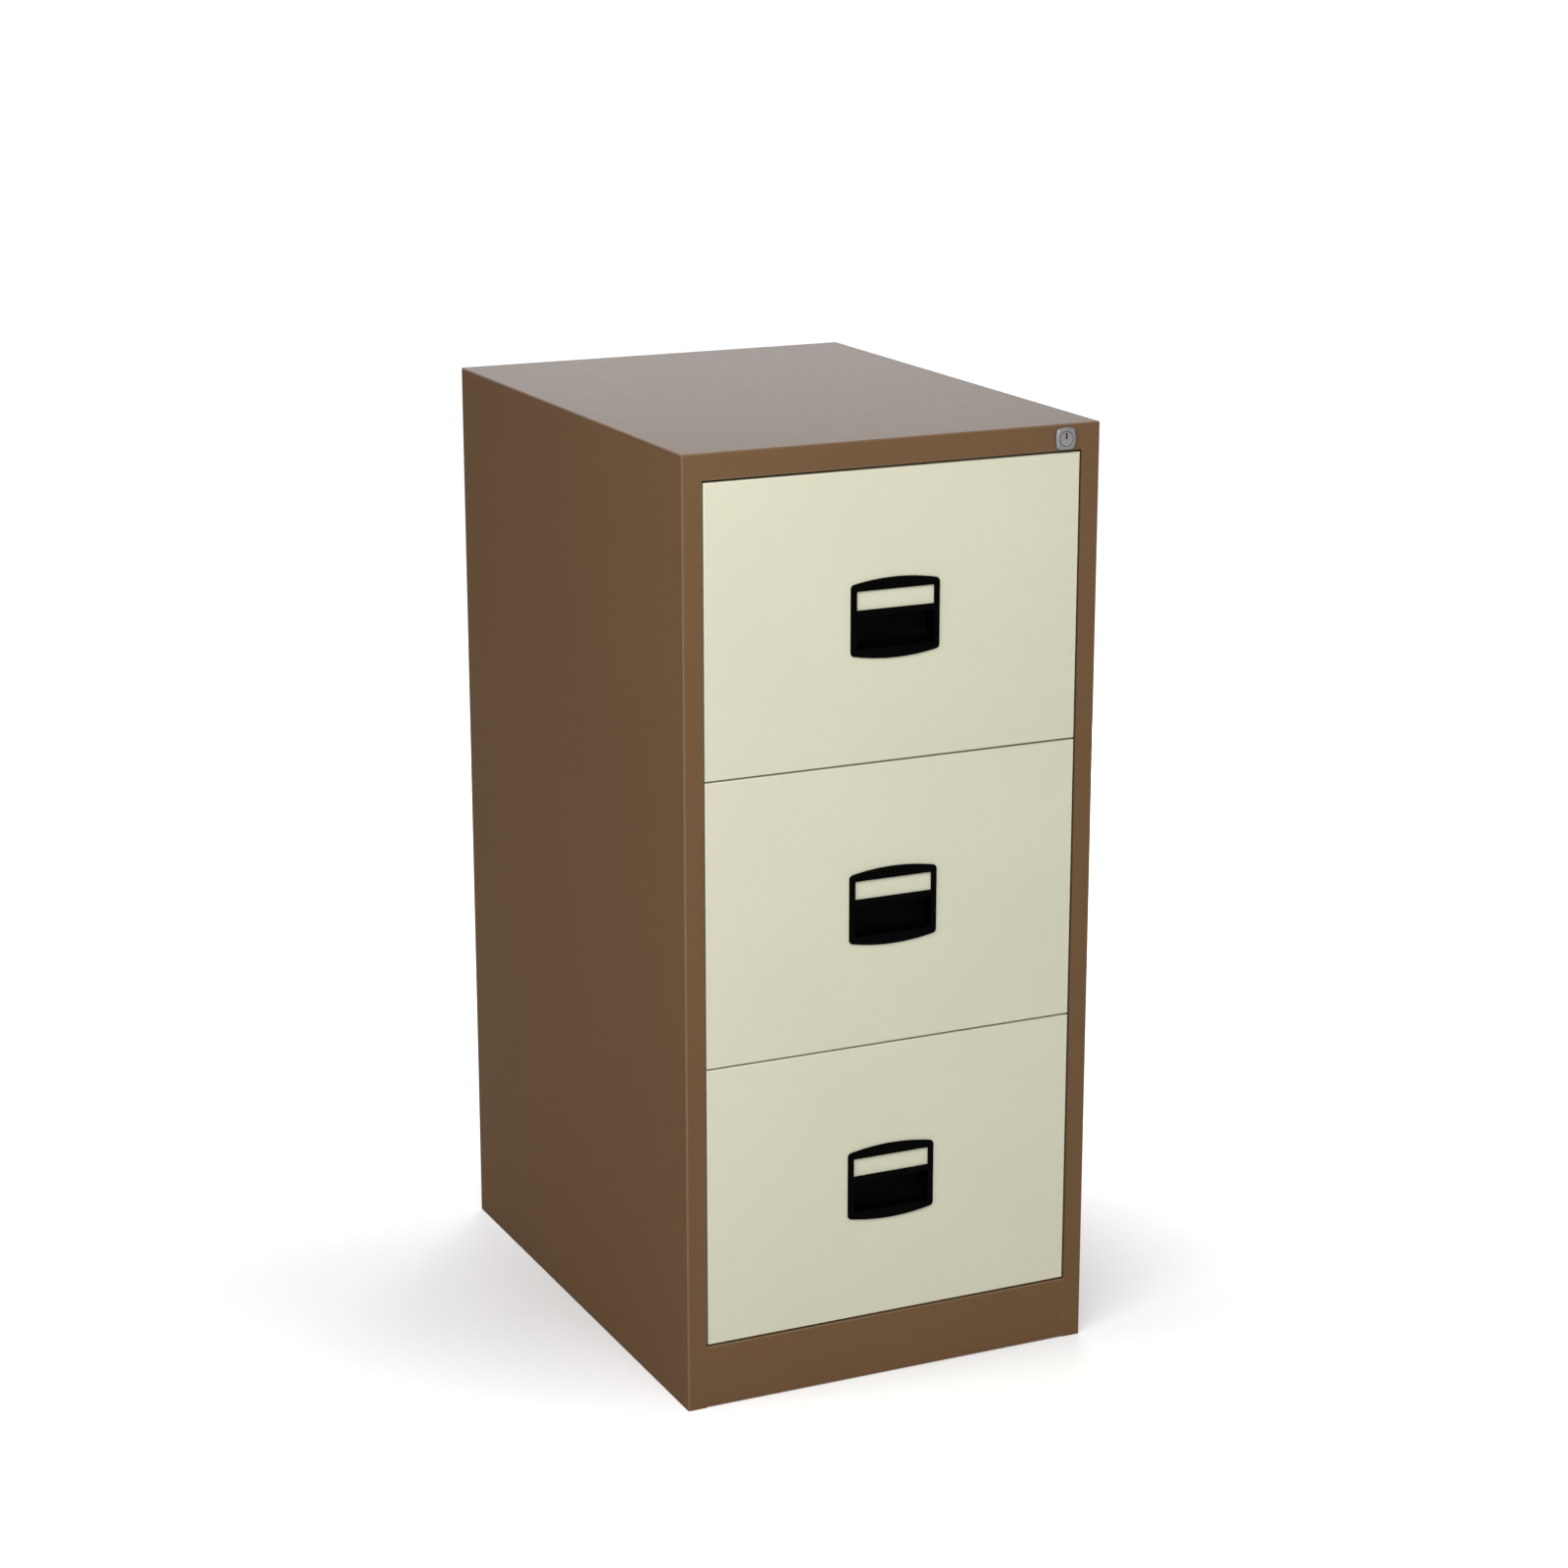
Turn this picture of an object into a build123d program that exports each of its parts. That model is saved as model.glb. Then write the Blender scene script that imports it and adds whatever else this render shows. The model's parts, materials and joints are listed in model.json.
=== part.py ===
from build123d import *
import math
import os

# Driving dimensions in millimetres. The cabinet stands on z = 0, its carcass is centred on x = 0 and y = 0,
# and its front faces -Y.

# Carcass
cabinet_width = 470.0
cabinet_depth = 622.0
stile_width = 21.0
plinth_height = 69.0
top_rail_height = 28.0
frame_return = 20.0
carcass_sheet = 1.0
carcass_bend = 1.8
top_flange = 8.0
back_return = 22.0
back_flange = 13.0
base_height = 40.0

# Uprights that carry the runners
upright_width = 30.0
upright_brim = 12.0
upright_setback = 22.0
upright_inset = 0.5

# Drawers
drawer_names = ["bottom", "middle", "top"]
front_height = 303.5
front_depth = 20.0
front_gap = 2.0
frame_gap = 2.25
drawer_sheet = 0.8
front_edge = 1.2
liner_fit = 0.2
tray_drop = 14.0
tray_height = 221.0
tray_bend = 2.0
tray_rear_space = 47.0
tray_back_flange = 12.0
rail_lap = 25.0
rail_rise = 27.0
rail_crest = 6.0
rail_lip = 10.0
rail_bend = 1.6
rail_fit = 1.0

# Runners
runner_height = 45.7
runner_thickness = 12.7
runner_sheet = 1.2
runner_bend = 1.7
runner_lip = 2.6
runner_axis_height = 60.0
runner_setback = 4.0
raceway_gap = 3.1
cage_web = 0.4
cage_clearance = 0.25
cage_end_margin = 12.5
runner_tip_gap = 0.6

# Handles
handle_width = 101.0
handle_height = 84.0
handle_bow = 5.5
handle_corner = 4.5
handle_proud = 2.5
handle_edge = 1.0
handle_drop = 1.7
handle_frame = 12.0
handle_side_bar = 6.5
window_height = 20.0
grip_bar_height = 6.0
grip_bar_depth = 4.5
recess_depth = 16.5
recess_scoop = 15.0
cup_wall = 1.5
cup_fit = 0.2

# Lock
lock_inset = 41.5
lock_drop = 1.0
lock_plate_size = 23.6
lock_plate_bow = 1.7
lock_plate_corner = 3.0
lock_plate_proud = 4.0
lock_plate_edge = 1.6
lock_barrel = 17.0
lock_barrel_length = 21.0
lock_nut_size = 21.0
lock_nut_thickness = 4.0
lock_hole_fit = 0.2
plug_face = 14.8
plug_face_gap = 0.6
plug_face_depth = 1.6
plug_body = 11.0
plug_fit = 0.3
plug_tail = 0.8
keyhole_lobe = 2.4
keyhole_slit = 1.4
keyhole_height = 6.0
keyhole_depth = 10.0
cam_thickness = 2.0
cam_hub = 11.0
cam_tip = 8.0
cam_pin = 4.0
cam_pin_end = 0.8

# Lock bar
lock_bar_sheet = 3.0
lock_bar_setback = 8.0
lock_bar_clearance = 1.5
lock_bar_foot = 90.0
head_half_height = 5.4
head_slot_fit = 0.5
head_slot_run = 1.5
head_tip_wall = 3.0
head_room = 0.5
hook_height = 12.0
hook_drop = 3.0
hook_tray_gap = 3.2
hook_edge_inset = 1.5
strike_height = 14.0
strike_level = 118.0
strike_sheet = 1.5
strike_bend = 2.2
strike_length = 24.0
strike_gap = 1.5
strike_tip_gap = 1.2
guide_level = 190.0
guide_height = 24.0
guide_base = 2.2
guide_arm = 1.7
guide_reach = 12.0
guide_fit = 0.3

# Positions that follow from the driving dimensions
drawer_count = len(drawer_names)
opening_height = drawer_count * (front_height + front_gap) - front_gap + 2 * frame_gap
cabinet_height = plinth_height + opening_height + top_rail_height
half_width = cabinet_width / 2
front_y = -cabinet_depth / 2
back_y = cabinet_depth / 2
opening_half = half_width - stile_width
side_inner = half_width - carcass_sheet
frame_back = front_y + frame_return
back_inner = back_y - 2 * carcass_sheet
under_top = cabinet_height - carcass_sheet
runner_face = opening_half - upright_inset
tray_half = runner_face - runner_thickness
tray_front = front_y + front_depth
tray_rear = back_y - tray_rear_space
tray_top = tray_drop + tray_height
runner_front = tray_front + runner_setback
runner_length = tray_rear - runner_front
drawer_travel = runner_length
front_width = 2 * (opening_half - frame_gap)
handle_level = front_height / 2 - handle_drop
lock_x = half_width - lock_inset
lock_z = cabinet_height - top_rail_height / 2 - lock_drop
lock_lift = top_rail_height - 2 * (carcass_sheet + head_half_height + head_room)
cam_radius = lock_lift / math.sqrt(2)
lock_back = front_y + lock_barrel_length
bar_front = frame_back + lock_bar_setback
bar_back = bar_front + lock_bar_sheet
bar_inner = opening_half + lock_bar_clearance
bar_outer = side_inner - guide_base - guide_fit
head_centre = lock_z - lock_lift / 2
head_back = bar_back + lock_bar_sheet
hook_top = strike_level - hook_drop


def front_bottom(index):
    """Height of the bottom edge of one drawer front, counted from the lowest drawer."""
    return plinth_height + frame_gap + index * (front_height + front_gap)


def facing(y):
    """Upright plane at depth y that looks out of the front: x to the right and z up."""
    return Plane(origin=(0, y, 0), x_dir=(1, 0, 0), z_dir=(0, -1, 0))


def folded(points, sheet, bend, side):
    """Section of a sheet bent along the points, with its thickness on the given side of them."""
    path = FilletPolyline(*points, radius=bend)
    return make_face(offset(path, amount=sheet, side=side, kind=Kind.INTERSECTION))


def mirrored(piece):
    """The same piece on the other side of the cabinet."""
    return mirror(piece, about=Plane.YZ)


def group(*pieces):
    """Separate solids that are kept together as one node."""
    return Compound([solid for piece in pieces for solid in piece.solids()])


def raised(piece, height):
    """The piece, lifted by the height."""
    return Pos(0, 0, height) * piece


# Carcass


def side_panel():
    """Right side: back return, side and front stile in one sheet; the fold that the rails meet is sharp."""
    section = folded(
        [
            (half_width - back_return, back_y),
            (half_width, back_y),
            (half_width, front_y),
            (opening_half, front_y),
            (opening_half, frame_back),
        ],
        carcass_sheet,
        [carcass_bend, carcass_bend, 0],
        Side.RIGHT,
    )
    return extrude(section, cabinet_height - top_flange)


def top_panel():
    """Top with short flanges all round; the front one drops between the stiles as the top rail."""
    block = raised(Box(cabinet_width, cabinet_depth, top_flange), cabinet_height - top_flange / 2)
    rounded = block.edges().filter_by(Axis.Z) + block.faces().sort_by(Axis.Z)[-1].edges()
    inside = Box(2 * side_inner, cabinet_depth - 2 * carcass_sheet, top_flange)
    cap = fillet(rounded, carcass_bend) - raised(inside, cabinet_height - carcass_sheet - top_flange / 2)
    rail_section = folded(
        [
            (frame_back, cabinet_height - top_rail_height),
            (front_y, cabinet_height - top_rail_height),
            (front_y, cabinet_height - carcass_bend),
        ],
        carcass_sheet,
        carcass_bend,
        Side.RIGHT,
    )
    rail = extrude(Plane.YZ * rail_section, opening_half, both=True)
    hole = on_lock(Circle(lock_barrel / 2 + lock_hole_fit), front_y)
    return cap + rail - extrude(hole, carcass_sheet, both=True)


def plinth_rail():
    """Channel across the foot of the front, between the stiles."""
    section = folded(
        [(frame_back, 0), (front_y, 0), (front_y, plinth_height), (frame_back, plinth_height)],
        carcass_sheet,
        carcass_bend,
        Side.RIGHT,
    )
    return extrude(Plane.YZ * section, opening_half, both=True)


def back_panel():
    """Flanged sheet behind the drawers, welded inside the returns of the side panels."""
    outer = back_y - carcass_sheet
    section = folded(
        [
            (-side_inner, outer - back_flange),
            (-side_inner, outer),
            (side_inner, outer),
            (side_inner, outer - back_flange),
        ],
        carcass_sheet,
        carcass_bend,
        Side.RIGHT,
    )
    return extrude(section, under_top)


def base_pan():
    """Shallow pan turned upside down, which closes the foot of the cabinet."""
    width = 2 * (side_inner - carcass_bend)
    block = Box(width, back_inner - frame_back, base_height)
    block = Pos(0, (frame_back + back_inner) / 2, base_height / 2) * block
    return offset(block, amount=-carcass_sheet, openings=block.faces().sort_by(Axis.Z)[0])


def upright(centre):
    """Hat-section post on the right side panel; the runners are fixed to its face."""
    brim_face = side_inner - carcass_sheet
    near = centre - upright_width / 2
    far = centre + upright_width / 2
    section = folded(
        [
            (brim_face, near - upright_brim),
            (brim_face, near),
            (runner_face, near),
            (runner_face, far),
            (brim_face, far),
            (brim_face, far + upright_brim),
        ],
        carcass_sheet,
        0,
        Side.RIGHT,
    )
    return raised(extrude(section, under_top - base_height), base_height)


# Runners, drawn by depth from the upright's face and by height from the runner's centre line


def along_runner(section, length):
    """A runner section drawn out to the length, centred on the runner."""
    middle = runner_front + runner_length / 2
    return extrude(facing(middle) * Pos(0, runner_axis_height) * section, length / 2, both=True)


def channel(web, tip, half_height, lip):
    """Channel with its web next to the upright and lips on its flanges that hold the balls in."""
    points = [
        (runner_face - tip, half_height - lip),
        (runner_face - tip, half_height),
        (runner_face - web, half_height),
        (runner_face - web, -half_height),
        (runner_face - tip, -half_height),
        (runner_face - tip, lip - half_height),
    ]
    return folded(points, runner_sheet, [0, runner_bend, runner_bend, 0], Side.RIGHT)


def cage_section(web, tip, outer_half, inner_half):
    """Thin web with a ball track above and below it, clear of the runners on both sides."""
    outer = outer_half - cage_clearance
    inner = inner_half + cage_clearance
    back = runner_face - web
    front = back - cage_web
    end = runner_face - tip
    half = [(back, outer), (end, outer), (end, inner), (front, inner)]
    return make_face(Polyline(*half, *[(x, -z) for x, z in reversed(half)], close=True))


cabinet_half = runner_height / 2
middle_half = cabinet_half - runner_sheet - raceway_gap
drawer_half = middle_half - runner_sheet - raceway_gap
web_gap = cage_web + 2 * cage_clearance
middle_web = runner_sheet + web_gap
drawer_tip = middle_web + runner_sheet + web_gap
runner_tip = runner_thickness - runner_sheet - runner_tip_gap
cage_tip = runner_tip - runner_sheet - cage_clearance
cage_length = runner_length - drawer_travel / 2 - 2 * cage_end_margin


def cabinet_runner():
    """Outer member, fixed to the uprights."""
    return along_runner(channel(0, runner_tip, cabinet_half, runner_lip), runner_length)


def middle_runner():
    """Middle member, which runs out half as far as the drawer."""
    return along_runner(channel(middle_web, runner_tip, middle_half, runner_lip), runner_length)


def drawer_runner():
    """Inner member, fixed to the side of the tray and open towards the upright."""
    points = [
        (runner_face - drawer_tip, drawer_half),
        (tray_half, drawer_half),
        (tray_half, -drawer_half),
        (runner_face - drawer_tip, -drawer_half),
    ]
    return along_runner(folded(points, runner_sheet, runner_bend, Side.LEFT), runner_length)


def outer_cage():
    """Ball cage between the cabinet runner and the middle runner."""
    section = cage_section(
        runner_sheet + cage_clearance, cage_tip, cabinet_half - runner_sheet, middle_half
    )
    return along_runner(section, cage_length)


def inner_cage():
    """Ball cage between the middle runner and the drawer runner."""
    section = cage_section(
        middle_web + runner_sheet + cage_clearance, cage_tip, middle_half - runner_sheet, drawer_half
    )
    return along_runner(section, cage_length)


# One drawer, with the bottom edge of its front at z = 0


def drawer_front():
    """Pan-shaped front with softly folded edges and a hole for the handle's cup."""
    block = Box(front_width, front_depth, front_height)
    block = Pos(0, front_y + front_depth / 2, front_height / 2) * block
    block = fillet(block.faces().sort_by(Axis.Y)[0].edges(), front_edge)
    inside = Box(front_width - 2 * drawer_sheet, front_depth, front_height - 2 * drawer_sheet)
    inside = Pos(0, front_y + drawer_sheet + front_depth / 2, front_height / 2) * inside
    return block - inside - extrude(cup_face(cup_fit), drawer_sheet, both=True)


def front_liner():
    """Sheet that closes the back of the drawer front and takes the tray's screws."""
    inset = 2 * (drawer_sheet + liner_fit)
    outline = Rectangle(front_width - inset, front_height - inset)
    return extrude(facing(tray_front) * Pos(0, front_height / 2) * outline, drawer_sheet)


def tray():
    """Bottom, front and two sides of the drawer, folded from one sheet."""
    block = Box(2 * tray_half, tray_rear - tray_front, tray_height)
    block = Pos(0, (tray_front + tray_rear) / 2, tray_drop + tray_height / 2) * block
    block = fillet(block.faces().sort_by(Axis.Z)[0].edges().filter_by(Axis.Y), tray_bend)
    openings = [block.faces().sort_by(Axis.Y)[-1], block.faces().sort_by(Axis.Z)[-1]]
    return offset(block, amount=-drawer_sheet, openings=openings)


def tray_back():
    """Flanged plate between the tray's sides, which ends below the file rails."""
    inner_half = tray_half - drawer_sheet
    bottom = tray_drop + tray_bend
    height = tray_top - rail_lap - rail_fit - bottom
    section = folded(
        [
            (-inner_half, tray_rear - tray_back_flange),
            (-inner_half, tray_rear),
            (inner_half, tray_rear),
            (inner_half, tray_rear - tray_back_flange),
        ],
        drawer_sheet,
        0,
        Side.RIGHT,
    )
    return raised(extrude(section, height), bottom)


def file_rail():
    """Rail on the right side of the tray, rolled over at its crest for the hooks of hanging files."""
    inner_half = tray_half - drawer_sheet
    crest = tray_top + rail_rise
    section = folded(
        [
            (inner_half, tray_top - rail_lap),
            (inner_half, crest),
            (inner_half - rail_crest, crest),
            (inner_half - rail_crest, crest - rail_lip),
        ],
        drawer_sheet,
        rail_bend,
        Side.LEFT,
    )
    length = tray_rear - tray_front - 2 * tray_bend
    return extrude(facing((tray_front + tray_rear) / 2) * section, length / 2, both=True)


recess_half = handle_width / 2 - handle_side_bar
recess_low = handle_frame - handle_height / 2
window_top = handle_height / 2 - handle_frame
window_low = window_top - window_height
grip_low = window_low - grip_bar_height
recess_back = front_y + recess_depth
handle_face = front_y - handle_proud


def scooped(low, back, radius, rest):
    """Outline in depth and height: a floor that curves up into the back wall, then the rest."""
    start = rest[-1]
    floor = Line(start, (back - radius, low))
    scoop = JernArc(floor @ 1, (1, 0), radius, 90)
    walls = Polyline(scoop @ 1, *rest)
    return make_face(Curve() + [floor, scoop, walls])


def cup_face(fit):
    """Outline of the handle's cup on the drawer front, larger all round by the fit."""
    width = 2 * (recess_half + cup_wall + fit)
    low = recess_low - cup_wall - fit
    high = window_low + fit
    return facing(front_y) * Pos(0, handle_level + (low + high) / 2) * Rectangle(width, high - low)


def handle():
    """Moulded pull: bowed frame, open label window, and a scooped cup behind its grip bar."""
    half = handle_width / 2
    shoulder = handle_height / 2 - handle_bow
    crown = handle_height / 2
    outline = make_face(
        Curve()
        + [
            ThreePointArc((-half, shoulder), (0, crown), (half, shoulder)),
            Line((half, shoulder), (half, -shoulder)),
            ThreePointArc((half, -shoulder), (0, -crown), (-half, -shoulder)),
            Line((-half, -shoulder), (-half, shoulder)),
        ]
    )
    frame = extrude(facing(front_y) * fillet(outline.vertices(), handle_corner), handle_proud)
    frame = chamfer(frame.faces().sort_by(Axis.Y)[0].edges(), handle_edge)
    cup_back = recess_back + cup_wall
    cup_low = recess_low - cup_wall
    cup_outline = scooped(
        cup_low,
        cup_back,
        recess_scoop + cup_wall,
        [(cup_back, window_low), (front_y, window_low), (front_y, cup_low)],
    )
    cup = extrude(Plane.YZ * cup_outline, recess_half + cup_wall, both=True)
    grip_back = handle_face + grip_bar_depth
    ceiling = window_low - cup_wall
    outside = handle_face - handle_proud
    hollow_outline = scooped(
        recess_low,
        recess_back,
        recess_scoop,
        [
            (recess_back, ceiling),
            (grip_back, ceiling),
            (grip_back, grip_low),
            (outside, grip_low),
            (outside, recess_low),
        ],
    )
    hollow = extrude(Plane.YZ * hollow_outline, recess_half, both=True)
    window_outline = Pos(0, (window_low + window_top) / 2) * Rectangle(2 * recess_half, window_height)
    window = extrude(facing(front_y) * window_outline, handle_proud)
    return raised(frame + cup - hollow - window, handle_level)


def lock_strike():
    """Bent tab on the right side of the tray, which a lock hook stops."""
    tab_front = bar_front + strike_gap
    section = folded(
        [
            (runner_face - strike_tip_gap, tab_front),
            (tray_half, tab_front),
            (tray_half, tab_front + strike_length),
        ],
        strike_sheet,
        strike_bend,
        Side.RIGHT,
    )
    return raised(extrude(section, strike_height), strike_level)


# Lock


def on_lock(sketch, y):
    """A sketch placed on the lock's axis at depth y."""
    return facing(y) * Pos(lock_x, lock_z) * sketch


def lock_case():
    """Plate with bowed sides and rounded corners, and the barrel behind it that the plug turns in."""
    half = lock_plate_size / 2
    corner = half - lock_plate_bow
    quarter = ThreePointArc((-corner, corner), (0, half), (corner, corner))
    outline = make_face(Curve() + [Rot(0, 0, 90 * turn) * quarter for turn in range(4)])
    outline = fillet(outline.vertices(), lock_plate_corner)
    plate = extrude(on_lock(outline, front_y), lock_plate_proud)
    plate = chamfer(plate.faces().sort_by(Axis.Y)[0].edges(), lock_plate_edge)
    barrel = extrude(on_lock(Circle(lock_barrel / 2), front_y), -lock_barrel_length)
    face = front_y - lock_plate_proud
    seat = on_lock(Circle(plug_face / 2 + plug_face_gap), face)
    bore = on_lock(Circle(plug_body / 2 + plug_fit), face)
    case = plate + barrel - extrude(seat, -(plug_face_depth + plug_face_gap))
    return case - extrude(bore, -(lock_plate_proud + lock_barrel_length))


def lock_nut():
    """Hexagon nut that draws the case against the back of the top rail."""
    hexagon = RegularPolygon(lock_nut_size / 2, 6, major_radius=False)
    ring = hexagon - Circle(lock_barrel / 2 + lock_hole_fit)
    return extrude(on_lock(ring, front_y + carcass_sheet), -lock_nut_thickness)


def lock_plug():
    """Turning core of the lock with its face disc and keyhole."""
    face = front_y - lock_plate_proud
    disc = extrude(on_lock(Circle(plug_face / 2), face), -plug_face_depth)
    length = lock_plate_proud + lock_barrel_length + plug_tail
    body = extrude(on_lock(Circle(plug_body / 2), face), -length)
    lobe = Circle(keyhole_lobe / 2)
    lobe_top = keyhole_height - keyhole_lobe / 2
    lobe_low = keyhole_lobe / 2
    slit = Pos(0, (lobe_low + lobe_top) / 2) * Rectangle(keyhole_slit, lobe_top - lobe_low)
    keyhole = slit + Pos(0, lobe_low) * lobe + Pos(0, lobe_top) * lobe
    return disc + body - extrude(on_lock(keyhole, face), -keyhole_depth)


def lock_cam():
    """Crank on the tail of the plug; its pin works in the slot of the lock bar's head."""
    front = lock_back + plug_tail
    pin_place = Rot(0, 0, -45) * Pos(cam_radius, 0)
    arm = make_hull((Circle(cam_hub / 2) + pin_place * Circle(cam_tip / 2)).edges())
    plate = extrude(on_lock(arm, front), -cam_thickness)
    pin = extrude(on_lock(pin_place * Circle(cam_pin / 2), front), -(head_back + cam_pin_end - front))
    return plate + pin


def lock_bar():
    """Flat bar that runs down behind the right stile."""
    top = head_centre + head_half_height
    width = bar_outer - bar_inner
    centre = Pos((bar_inner + bar_outer) / 2, (lock_bar_foot + top) / 2)
    return extrude(facing(bar_back) * centre * Rectangle(width, top - lock_bar_foot), lock_bar_sheet)


def lock_bar_head():
    """Plate on the top of the bar with the slot that the cam pin lifts it by."""
    slot_height = cam_pin + 2 * head_slot_fit
    slot_start = lock_x + cam_radius * math.cos(math.pi / 4) - cam_pin / 2 - head_slot_run
    slot_end = lock_x + cam_radius + cam_pin / 2 + head_slot_run
    start = slot_start - head_tip_wall
    plate = Pos((start + bar_outer) / 2, head_centre) * Rectangle(bar_outer - start, 2 * head_half_height)
    slot = Pos((slot_start + slot_end) / 2, head_centre) * SlotOverall(slot_end - slot_start, slot_height)
    return extrude(facing(head_back) * (plate - slot), lock_bar_sheet)


def lock_hook():
    """Lug on the front of the bar, which rises in front of a strike when the bar is lifted."""
    tip = tray_half + hook_tray_gap
    end = bar_outer - hook_edge_inset
    outline = Pos((tip + end) / 2, hook_top - hook_height / 2) * Rectangle(end - tip, hook_height)
    return extrude(facing(bar_front) * outline, lock_bar_sheet)


def lock_bar_guide():
    """Moulded clip on the right side panel, which the lock bar slides in."""
    outer_front = bar_front - guide_fit - guide_arm
    outer_back = bar_back + guide_fit + guide_arm
    depth = outer_back - outer_front
    centre = (outer_front + outer_back) / 2
    block = Pos(side_inner - guide_reach / 2, centre) * Rectangle(guide_reach, depth)
    reach = guide_reach - guide_base
    slot = Rectangle(reach, lock_bar_sheet + 2 * guide_fit)
    slot = Pos(side_inner - guide_base - reach / 2, centre) * slot
    return raised(extrude(block - slot, guide_height), guide_level - guide_height / 2)


# Build every node and write it out


def carcass_nodes():
    """Fixed sheet metal."""
    right_side = side_panel()
    front_post = upright(runner_front + upright_setback + upright_width / 2)
    rear_post = upright(runner_front + runner_length - upright_setback - upright_width / 2)
    return {
        "right_side_panel": right_side,
        "left_side_panel": mirrored(right_side),
        "top_panel": top_panel(),
        "plinth_rail": plinth_rail(),
        "back_panel": back_panel(),
        "base_pan": base_pan(),
        "right_front_upright": front_post,
        "right_rear_upright": rear_post,
        "left_front_upright": mirrored(front_post),
        "left_rear_upright": mirrored(rear_post),
    }


def drawer_nodes():
    """One drawer and its runners."""
    fixed_runner = cabinet_runner()
    sliding_runner = drawer_runner()
    middle = middle_runner()
    outer = outer_cage()
    inner = inner_cage()
    rail = file_rail()
    return {
        "drawer_front": drawer_front(),
        "front_liner": front_liner(),
        "tray": tray(),
        "tray_back": tray_back(),
        "file_rails": group(rail, mirrored(rail)),
        "handle": handle(),
        "lock_strike": lock_strike(),
        "left_cabinet_runner": mirrored(fixed_runner),
        "right_cabinet_runner": fixed_runner,
        "left_drawer_runner": mirrored(sliding_runner),
        "right_drawer_runner": sliding_runner,
        "middle_runners": group(middle, mirrored(middle)),
        "outer_ball_cages": group(outer, mirrored(outer)),
        "inner_ball_cages": group(inner, mirrored(inner)),
    }


def lock_nodes():
    """Lock, lock bar and the pieces on it."""
    levels = [front_bottom(index) for index in range(drawer_count)]
    hook = lock_hook()
    guide = lock_bar_guide()
    return {
        "lock_case": lock_case(),
        "lock_nut": lock_nut(),
        "lock_plug": lock_plug(),
        "lock_cam": lock_cam(),
        "lock_bar": lock_bar(),
        "lock_bar_head": lock_bar_head(),
        "lock_hooks": group(*[raised(hook, level) for level in levels]),
        "lock_bar_guides": group(*[raised(guide, level) for level in levels]),
    }


nodes = {**carcass_nodes(), **lock_nodes()}
one_drawer = drawer_nodes()
for index, drawer_name in enumerate(drawer_names):
    for piece_name, piece in one_drawer.items():
        nodes[f"{drawer_name}_{piece_name}"] = raised(piece, front_bottom(index))

os.makedirs("parts", exist_ok=True)
for node_name, node in nodes.items():
    export_step(node, f"parts/{node_name}.step")
print(len(nodes), "nodes, height", cabinet_height, "travel", drawer_travel, "lock lift", lock_lift)
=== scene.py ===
import json
import math

import bmesh
import bpy
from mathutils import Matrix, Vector

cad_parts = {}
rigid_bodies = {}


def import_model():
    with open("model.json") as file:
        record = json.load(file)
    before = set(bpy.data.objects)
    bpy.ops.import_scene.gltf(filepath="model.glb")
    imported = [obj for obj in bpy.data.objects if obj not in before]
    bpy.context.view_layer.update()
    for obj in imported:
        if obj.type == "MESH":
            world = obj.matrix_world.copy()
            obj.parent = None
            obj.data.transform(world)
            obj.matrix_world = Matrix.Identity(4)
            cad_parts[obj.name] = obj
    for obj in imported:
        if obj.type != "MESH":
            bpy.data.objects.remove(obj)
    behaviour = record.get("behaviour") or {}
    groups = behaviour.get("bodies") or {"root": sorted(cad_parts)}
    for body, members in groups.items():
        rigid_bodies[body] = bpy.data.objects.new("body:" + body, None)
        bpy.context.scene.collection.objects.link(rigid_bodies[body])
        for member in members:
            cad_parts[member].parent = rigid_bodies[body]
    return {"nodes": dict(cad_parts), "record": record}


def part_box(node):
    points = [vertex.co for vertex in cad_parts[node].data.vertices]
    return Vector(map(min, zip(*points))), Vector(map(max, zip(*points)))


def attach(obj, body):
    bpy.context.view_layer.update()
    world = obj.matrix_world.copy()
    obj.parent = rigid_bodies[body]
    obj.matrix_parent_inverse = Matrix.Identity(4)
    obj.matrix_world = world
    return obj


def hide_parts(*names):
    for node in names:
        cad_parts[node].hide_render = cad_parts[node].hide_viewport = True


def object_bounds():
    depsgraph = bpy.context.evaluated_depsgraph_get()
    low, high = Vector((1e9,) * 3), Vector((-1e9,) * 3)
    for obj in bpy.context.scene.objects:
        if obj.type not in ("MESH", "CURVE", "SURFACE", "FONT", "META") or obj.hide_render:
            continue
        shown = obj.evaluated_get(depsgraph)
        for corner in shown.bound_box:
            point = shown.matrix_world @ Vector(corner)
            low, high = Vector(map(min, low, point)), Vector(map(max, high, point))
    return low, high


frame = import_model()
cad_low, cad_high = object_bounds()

# Studio and camera
# A pale floor that glows white beyond an oval round the cabinet and dimly within it, a painted shadow, an
# even white surround, a wide soft lamp above in front, a smaller one on the left and two behind.
# The camera stands at the photograph's angle.
scene = bpy.context.scene
scene.view_settings.view_transform = "Standard"

camera_place = (-1.6014, -3.4638, 1.6246)
camera_turn = math.radians(-25.101)
camera_tilt = math.radians(15.325)
camera = bpy.data.objects.new("camera", bpy.data.cameras.new("camera"))
camera.data.sensor_width = 36.0
camera.data.lens = 81.8
camera.location = camera_place
ahead = Vector(
    (
        -math.sin(camera_turn) * math.cos(camera_tilt),
        math.cos(camera_turn) * math.cos(camera_tilt),
        -math.sin(camera_tilt),
    )
)
camera.rotation_euler = ahead.to_track_quat("-Z", "Y").to_euler()
scene.collection.objects.link(camera)
scene.camera = camera


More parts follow.
